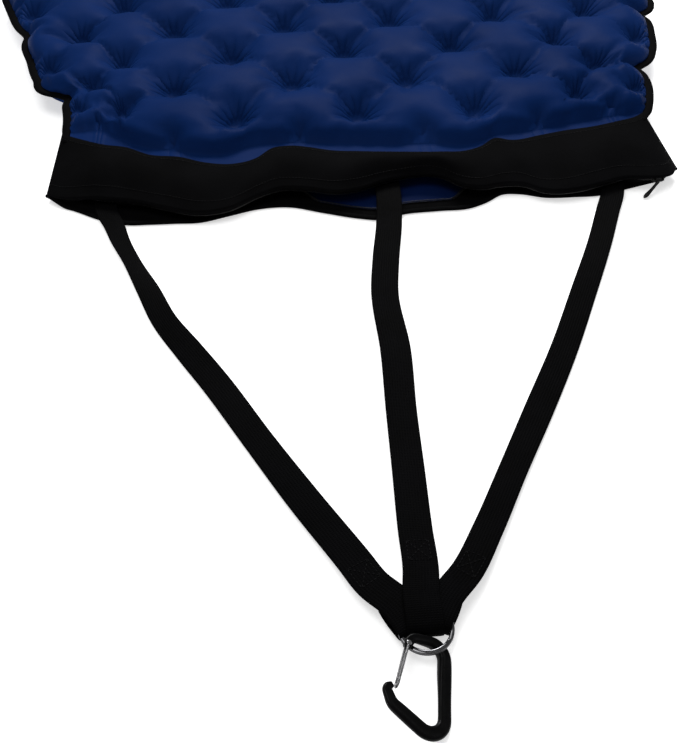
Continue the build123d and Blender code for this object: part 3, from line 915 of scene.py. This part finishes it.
# Each strap's middle line: x, y, height, width, twist in degrees
STRAP_LINES = {
    "left": [
        (-252, -897, 6.9, 22, 0), (-249, -933, 6.0, 21, 0), (-242, -951, 4.4, 20, 5),
        (-235, -974, 3.4, 19, 14), (-223, -1005, 2.9, 18, 18), (-207, -1046, 3.0, 21, 6),
        (-192, -1087, 2.8, 22, -5), (-171, -1126, 3.2, 24, -6), (-149, -1165, 2.4, 25.5, 2),
        (-117, -1229, 2.2, 25, 2), (-86, -1290, 3.5, 26, 0), (-56, -1347, 7.0, 26, 0),
        (-46, -1368, 10.0, 26, 0),
    ],
    "right": [
        (252, -897, 8.8, 23, 0), (252, -938, 8.2, 23, 0), (247, -955, 6.6, 22.5, 0),
        (237, -976, 4.4, 22.5, -3), (216, -1021, 3.0, 22.5, -5), (182, -1087, 2.6, 23, 2),
        (144, -1159, 3.0, 23, 4), (107, -1222, 2.6, 23.5, 0), (73, -1279, 4.0, 22, -2),
        (42, -1332, 7.6, 22, 0), (21, -1365, 11.4, 22.5, 0),
    ],
    "centre": [
        (27, -897, 10.7, 25, 0), (25, -945, 9.0, 25, 0), (21, -975, 5.4, 25, -3),
        (11, -1026, 3.2, 25, 4), (4, -1070, 2.6, 25, 5), (3, -1144, 3.0, 26, -3),
        (-2, -1210, 2.8, 25, 0), (-6, -1272, 6.0, 25, 0), (-10, -1328, 10.5, 25, 0),
        (-12, -1364, 14.6, 25, 0),
    ],
}
# Each loop: azimuth of the wire there, the strap's heading, the gap, and reach inside the wire
LOOPS = {"left": (137, 117, 3.2, 14), "right": (44, 58, 4.9, 14), "centre": (90, 88, 6.6, 22)}
WEB_SECTION = oval(25, 1.6, 20, 5)
STRAP_POINTS = 230
FOLD_TURNS = np.radians([50, 90, 130])
# How far outside the wire a loop starts and its tail ends, and its run into the fold
LOOP_START, LOOP_TAIL, LOOP_EASE = 5, 12, 3
TACK_FROM, TACK_TO = 44, 26
TACK_CORNERS = (4, 6)


def stitch_row(line, pitch=3.2, length=2.3, radius=0.33):
    """Small rounded stitches that follow a line, as one list of ring grids."""
    run = np.linalg.norm(np.diff(line, axis=0), axis=1).sum()
    count = max(2, int(run / pitch))
    places = resample(line, count + 1)
    rows = []
    for start, stop in zip(places[:-1], places[1:]):
        way = unit(stop - start)
        middle = (start + stop) / 2
        along = np.array([-0.5, -0.3, 0, 0.3, 0.5])[:, None] * length * way
        size = np.array([0.3, 0.85, 1, 0.85, 0.3])[:, None] * (1, 1)
        up = (0, 0, 1) if abs(way[2]) < 0.9 else (1, 0, 0)
        rows.append(sweep(middle + along, oval(2 * radius, 1.6 * radius, 6), up, size))
    return rows


def sew(name, lines, body):
    """One piece of thread, at both ends, from all the stitches of several lines."""
    grids = [grid for line in lines for grid in stitch_row(np.asarray(line))]
    rows, columns = grids[0].shape[:2]
    faces = grid_faces(rows, columns, around=True)
    faces += [list(range(columns))[::-1], [(rows - 1) * columns + j for j in range(columns)]]
    size = rows * columns
    all_faces = [[i + k * size for i in f] for k in range(len(grids)) for f in faces]
    made = add_mesh(name, np.concatenate([g.reshape(-1, 3) for g in grids]), all_faces)
    return both_ends(made, name, thread, body)


for side, points in STRAP_LINES.items():
    azimuth, heading, gap, reach = LOOPS[side]
    round_ring = np.array([cos(radians(azimuth)), sin(radians(azimuth)), 0])
    out = np.array([cos(radians(heading)), sin(radians(heading)), 0])
    wire = ring_centre + RING_RADIUS * round_ring
    width = points[-1][3]
    over, fold_at = np.array([0, 0, gap]), reach - gap
    loop = [(*(wire + LOOP_START * out + over), width, 0)]
    loop.append((*(wire - (fold_at - LOOP_EASE) * out + over), width, 0))
    for turn in FOLD_TURNS:
        fold = wire - (fold_at + gap * sin(turn)) * out + (0, 0, gap * cos(turn))
        loop.append((*fold, width, 0))
    loop.append((*(wire - (fold_at - LOOP_EASE) * out - over), width, 0))
    loop.append((*(wire + LOOP_START * out - over * 0.98), width, 0))
    loop.append((*(wire + LOOP_TAIL * out - over * 0.7), width - 1, 0))
    line = path_through(points + loop, STRAP_POINTS)
    place = line[:, :3]
    ahead_of = unit(np.gradient(place, axis=0))
    flat_side = unit(np.cross(ahead_of, (0, 0, 1.0)) + 1e-9)
    loop_side = np.cross(-out, (0, 0, 1.0))
    run = np.r_[0, np.cumsum(np.linalg.norm(np.diff(place, axis=0), axis=1))]
    into_loop = run[np.argmin(np.linalg.norm(place - loop[0][:3], axis=1))]
    share_loop = ease((run - into_loop + 20) / 18)[:, None]
    before_fold = np.where(run[:, None] < into_loop + 2, flat_side, loop_side)
    side_way = unit(before_fold * (1 - share_loop) + loop_side * share_loop)
    ribbon = sweep(
        place,
        WEB_SECTION,
        up=np.cross(side_way, ahead_of),
        scale=np.stack([line[:, 3] / 25, np.ones(len(line))], axis=1),
        twist=line[:, 4],
    )
    piece = add_grid("strap", ribbon, around=True, caps=True)
    nodes = [f"strap_{side}{part}" for part in ("", "_root", "_eye")]
    both_ends(piece, f"webbing_{side}", webbing, "bridle", nodes, [(0, -948, 9), (0, -985, 9)])
    first, last = (int(np.argmin(abs(run - into_loop + d))) for d in (TACK_FROM, TACK_TO))
    left_edge, right_edge = (ribbon[first : last + 1, k] + (0, 0, 0.25) for k in TACK_CORNERS)
    box = [left_edge, right_edge]
    for one, other in ((0, 0), (-1, -1), (0, -1), (-1, 0)):
        box.append(np.linspace(left_edge[one], right_edge[other], 6))
    sew(f"tack_{side}", box, "bridle")

BAND_STITCH_ROWS = (1, BAND_ROWS - 3)
sew("band_stitches", [band_rows[k] + (0, -0.2, 0.6) for k in BAND_STITCH_ROWS], "pad")

# ---------------------------------------------------------------- the ring
RING_TURNS = 2
COIL_HEIGHT = 1.6
turns = np.linspace(0, 2 * pi * RING_TURNS, 200)
start_at = radians(-35)
climb = 1.65 * (np.clip((turns - 2 * pi + 0.45) / 0.9, 0, 1) - 0.5)
flat_turns = [RING_RADIUS * np.cos(turns + start_at), RING_RADIUS * np.sin(turns + start_at)]
helix = ring_centre + np.stack([*flat_turns, climb], axis=1)
ring = tube("ring", helix, oval(RING_WIRE, COIL_HEIGHT, 14, 3))
both_ends(ring, "split_ring", ring_steel, "ring", ["bridle_ring"])

# ---------------------------------------------------------------- the carabiner
CLIP_ORIGIN = np.array([-3, -1415.5, 3.6])
CLIP_TURN = radians(-9.9)
CLIP_TILT = radians(25)
clip_x = np.array(
    [cos(CLIP_TURN) * cos(CLIP_TILT), sin(CLIP_TURN) * cos(CLIP_TILT), -sin(CLIP_TILT)]
)
clip_z = np.array(
    [cos(CLIP_TURN) * sin(CLIP_TILT), sin(CLIP_TURN) * sin(CLIP_TILT), cos(CLIP_TILT)]
)
clip_y = np.cross(clip_z, clip_x)
PIVOT = np.array([-28.4, -7])
NOSE = np.array([-35.6, -38.2])


def in_clip(points):
    """Row-frame points from the carabiner's own plane: right, up and out of it."""
    points = np.asarray(points, float)
    if points.shape[-1] == 2:
        points = np.concatenate([points, np.zeros((*points.shape[:-1], 1))], axis=-1)
    return CLIP_ORIGIN + points @ np.array([clip_x, clip_y, clip_z])


rod_line = round_corners(
    [
        (-28.8, -10.2), (-25.5, -1.2), (-1.3, -1.2), (-1.3, -69.5), (-38, -49), (-42.3, -40),
        (-38, -36.6),
    ],
    [6, 11, 11, 8, 2.6],
)
rod = resample(rod_line, 150)
rod_run = np.linspace(0, 1, len(rod))
rod_width = smooth(
    [
        (0, 0.62), (0.02, 0.95), (0.06, 1.1), (0.14, 1.15), (0.22, 1.35), (0.3, 1.55),
        (0.5, 1.5), (0.62, 1.55), (0.68, 1.6), (0.8, 1.55), (0.88, 1.4), (0.93, 1.2),
        (0.97, 1.05), (1, 0.6),
    ],
    rod_run,
)
rod_thick = smooth(
    [(0, 0.5), (0.05, 0.52), (0.09, 1), (0.55, 1), (0.62, 1.12), (0.7, 1), (0.93, 1), (1, 0.6)],
    rod_run,
)
groove_half = np.array(
    [
        (-3.0, -0.9), (-2.5, -1.75), (-1.7, -2.2), (-0.9, -1.75), (0.9, -1.75), (1.7, -2.2),
        (2.5, -1.75), (3.0, -0.9),
    ]
)
groove = np.concatenate([groove_half, -groove_half])
rod_scale = np.stack([rod_width, rod_thick], axis=1)
clip_body = tube("clip", in_clip(rod), groove, up=clip_z, scale=rod_scale)
smoother = clip_body.modifiers.new("smoother", "SUBSURF")
smoother.levels = smoother.render_levels = 1
apply_modifiers(clip_body)
both_ends(clip_body, "clip_frame", clip_alloy, "carabiner", ["carabiner_body"])

along_gate = (NOSE - PIVOT) / np.linalg.norm(NOSE - PIVOT)
gate_half = [
    (*(PIVOT - 0.4 * along_gate), 2.1), (*(PIVOT + 3 * along_gate), 2.15),
    (*(NOSE - 7 * along_gate), 2.05), (*(NOSE - 1.6 * along_gate), 1.8),
    (*(NOSE - 0.2 * along_gate), 0.8),
]
gate_points = gate_half + [(x, y, -z) for x, y, z in gate_half[::-1]]
gate_line = in_clip(path_through(gate_points, 90))
gate = tube("gate", gate_line, oval(1.6, 1.6, 10), up=clip_x + 0.3 * clip_y)
both_ends(gate, "gate_wire", gate_steel, "gate", ["carabiner_gate"])


def lathe(name, profile, origin, axis, across, count=28, caps=True):
    """A turned shape: profile is (radius, height) pairs along the axis."""
    axis, across = np.array(axis, float), np.array(across, float)
    other = np.cross(axis, across)
    turn = np.linspace(0, 2 * pi, count, endpoint=False)
    spokes = np.cos(turn)[:, None] * across + np.sin(turn)[:, None] * other
    rings = [np.asarray(origin) + radius * spokes + height * axis for radius, height in profile]
    return add_grid(name, np.array(rings), around=True, caps=caps)


rivet_foot = [(0.3, -3.3), (1.1, -3.25), (1.7, -3.0), (1.75, -2.95), (0.9, -2.9)]
rivet_head = [(radius, -height) for radius, height in rivet_foot[::-1]]
rivet = lathe("rivet", rivet_foot + rivet_head, in_clip(PIVOT), clip_z, clip_x)
both_ends(rivet, "clip_rivet", gate_steel, "carabiner", ["carabiner_rivet"])

# ---------------------------------------------------------------- the valve
cap_low, cap_high = corners_of("valve_cap")
flap_low, flap_high = corners_of("valve_flap")
# Radii of the valve's flange, collar and bore
FLANGE, COLLAR, BORE = 26, 16.3, 12
collar_top = valve_high[2]
base_profile = [
    (BORE, valve_low[2]), (COLLAR - 1, valve_low[2]), (COLLAR - 0.6, SEAT_Z - 1.5),
    (FLANGE - 1, SEAT_Z - 1.2), (FLANGE, SEAT_Z - 0.2), (FLANGE - 0.4, SEAT_Z + 0.6),
    (23.4, SEAT_Z + 0.9), (22.9, SEAT_Z + 1.6), (22.1, SEAT_Z + 1.6), (21.6, SEAT_Z + 1.0),
    (19.9, SEAT_Z + 1.1), (19.4, SEAT_Z + 1.8), (18.6, SEAT_Z + 1.8), (17.9, SEAT_Z + 1.4),
    (COLLAR, SEAT_Z + 2.4), (COLLAR - 0.2, collar_top - 0.9), (COLLAR - 1, collar_top),
    (BORE + 0.8, collar_top), (BORE, collar_top - 0.8), (BORE, valve_low[2]),
]
valve_foot = (valve_at[0], valve_at[1], 0)
UP, ACROSS = (0, 0, 1), (1, 0, 0)
base = lathe("valve_seat", base_profile, valve_foot, UP, ACROSS, 72, caps=False)
finish_piece(base, valve_plastic, ["valve_base"])
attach(base, "pad")

HINGE_X = cap_high[0]
lug_heights = np.linspace(SEAT_Z, cap_low[2] + 6, 9)
lug_path = np.array([(HINGE_X + 1.6, valve_at[1], z) for z in lug_heights])
lug_size = np.array([1.5, 1.15, 1, 1, 1, 1, 1, 0.95, 0.7])[:, None] * (1, 1)
lug = tube("valve_lug", lug_path, oval(2.6, 8.6, 16, 3.5), up=(0, 1, 0), scale=lug_size)
finish_piece(lug, valve_plastic)
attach(lug, "pad")

cap_under = collar_top + 0.4
cap_top = cap_high[2]
PLUG = BORE - 1.6
cap_profile = [
    (0.4, cap_low[2]), (PLUG - 1.2, cap_low[2]), (PLUG - 0.2, cap_low[2] + 0.8),
    (PLUG + 0.2, cap_low[2] + 1.8), (PLUG - 0.2, cap_low[2] + 2.6), (PLUG - 0.2, cap_under),
    (COLLAR - 0.5, cap_under), (COLLAR, cap_under + 0.5), (COLLAR, cap_top - 0.7),
    (COLLAR - 0.7, cap_top), (COLLAR - 2.8, cap_top), (COLLAR - 3.4, cap_top - 0.5),
    (COLLAR - 6, cap_top - 0.5), (COLLAR - 6.5, cap_top), (0.4, cap_top - 0.1),
]
cap = lathe("valve_lid", cap_profile, valve_foot, UP, ACROSS, 144)
GRIPS = 36
for vertex in cap.data.vertices:
    out_x, out_y = vertex.co.x / MM - valve_at[0], vertex.co.y / MM - valve_at[1]
    radius = np.hypot(out_x, out_y)
    if radius > COLLAR - 0.6:
        grip = 1 + 0.022 * np.cos(GRIPS * np.arctan2(out_y, out_x))
        vertex.co.x = (valve_at[0] + out_x * grip) * MM
        vertex.co.y = (valve_at[1] + out_y * grip) * MM
tether_x = np.linspace(valve_at[0] + 14.5, HINGE_X + 0.6, 9)
tether_path = np.array([(x, valve_at[1], cap_under + 1.6) for x in tether_x])
tether_width = [1.2, 1.15, 1.05, 1, 1, 1, 0.95, 0.9, 0.85]
tether_size = np.stack([tether_width, np.ones(9)], axis=1)
tether = tube("valve_tether", tether_path, oval(8.6, 1.5, 16, 3.5), scale=tether_size)
flap_middle = (flap_low + flap_high) / 2
flap_profile = [
    (0.3, flap_low[2] + 0.1), (9, flap_low[2]), (13.4, flap_low[2] + 0.3), (13.8, flap_middle[2]),
    (13.2, flap_high[2]), (12, flap_high[2]), (6, flap_high[2] - 0.3), (0.3, flap_high[2] - 0.2),
]
flap = lathe("valve_diaphragm", flap_profile, (*flap_middle[:2], 0), UP, ACROSS, 48)
for piece, material, body, nodes in (
    (cap, valve_rubber, "valve_cap", ["valve_cap"]),
    (tether, valve_rubber, "valve_cap", []),
    (flap, valve_rubber, "valve_flap", ["valve_flap"]),
):
    finish_piece(piece, material, nodes)
    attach(piece, body)

# ---------------------------------------------------------------- floor and light
floor_mesh = bpy.data.meshes.new("studio_floor")
floor_mesh.from_pydata([(-30, -30, 0), (30, -30, 0), (30, 30, 0), (-30, 30, 0)], [], [(0, 1, 2, 3)])
studio_floor = show(floor_mesh, "studio_floor")
floor_paint = new_material("studio_floor", (0.9, 0.9, 0.9), 0.9)
floor_shader = shader_of(floor_paint)
floor_shader.inputs["Emission Color"].default_value = (1, 1, 1, 1)
floor_shader.inputs["Emission Strength"].default_value = 0.55
floor_mesh.materials.append(floor_paint)
studio_floor.location.z = -0.0005

world = bpy.data.worlds.new("studio")
world.use_nodes = True
world.node_tree.nodes["Background"].inputs["Color"].default_value = (1, 1, 1, 1)
world.node_tree.nodes["Background"].inputs["Strength"].default_value = 0.33
bpy.context.scene.world = world
bpy.context.scene.view_settings.view_transform = "Standard"

LIGHTS = [
    ("back_box", (0.35, 0.9, 1.6), (0, -0.75, 0), (1.4, 0.7), 62),
    ("top_box", (-0.5, -1.1, 2.3), (0, -1.1, 0), (1.2, 1.2), 20),
]
for name, place, aim, size, power in LIGHTS:
    light = bpy.data.lights.new(name, "AREA")
    light.shape = "RECTANGLE"
    light.size, light.size_y = size
    light.energy = power
    lamp = show(light, name)
    lamp.location = place
    lamp.rotation_euler = (Vector(aim) - Vector(place)).to_track_quat("-Z", "Y").to_euler()
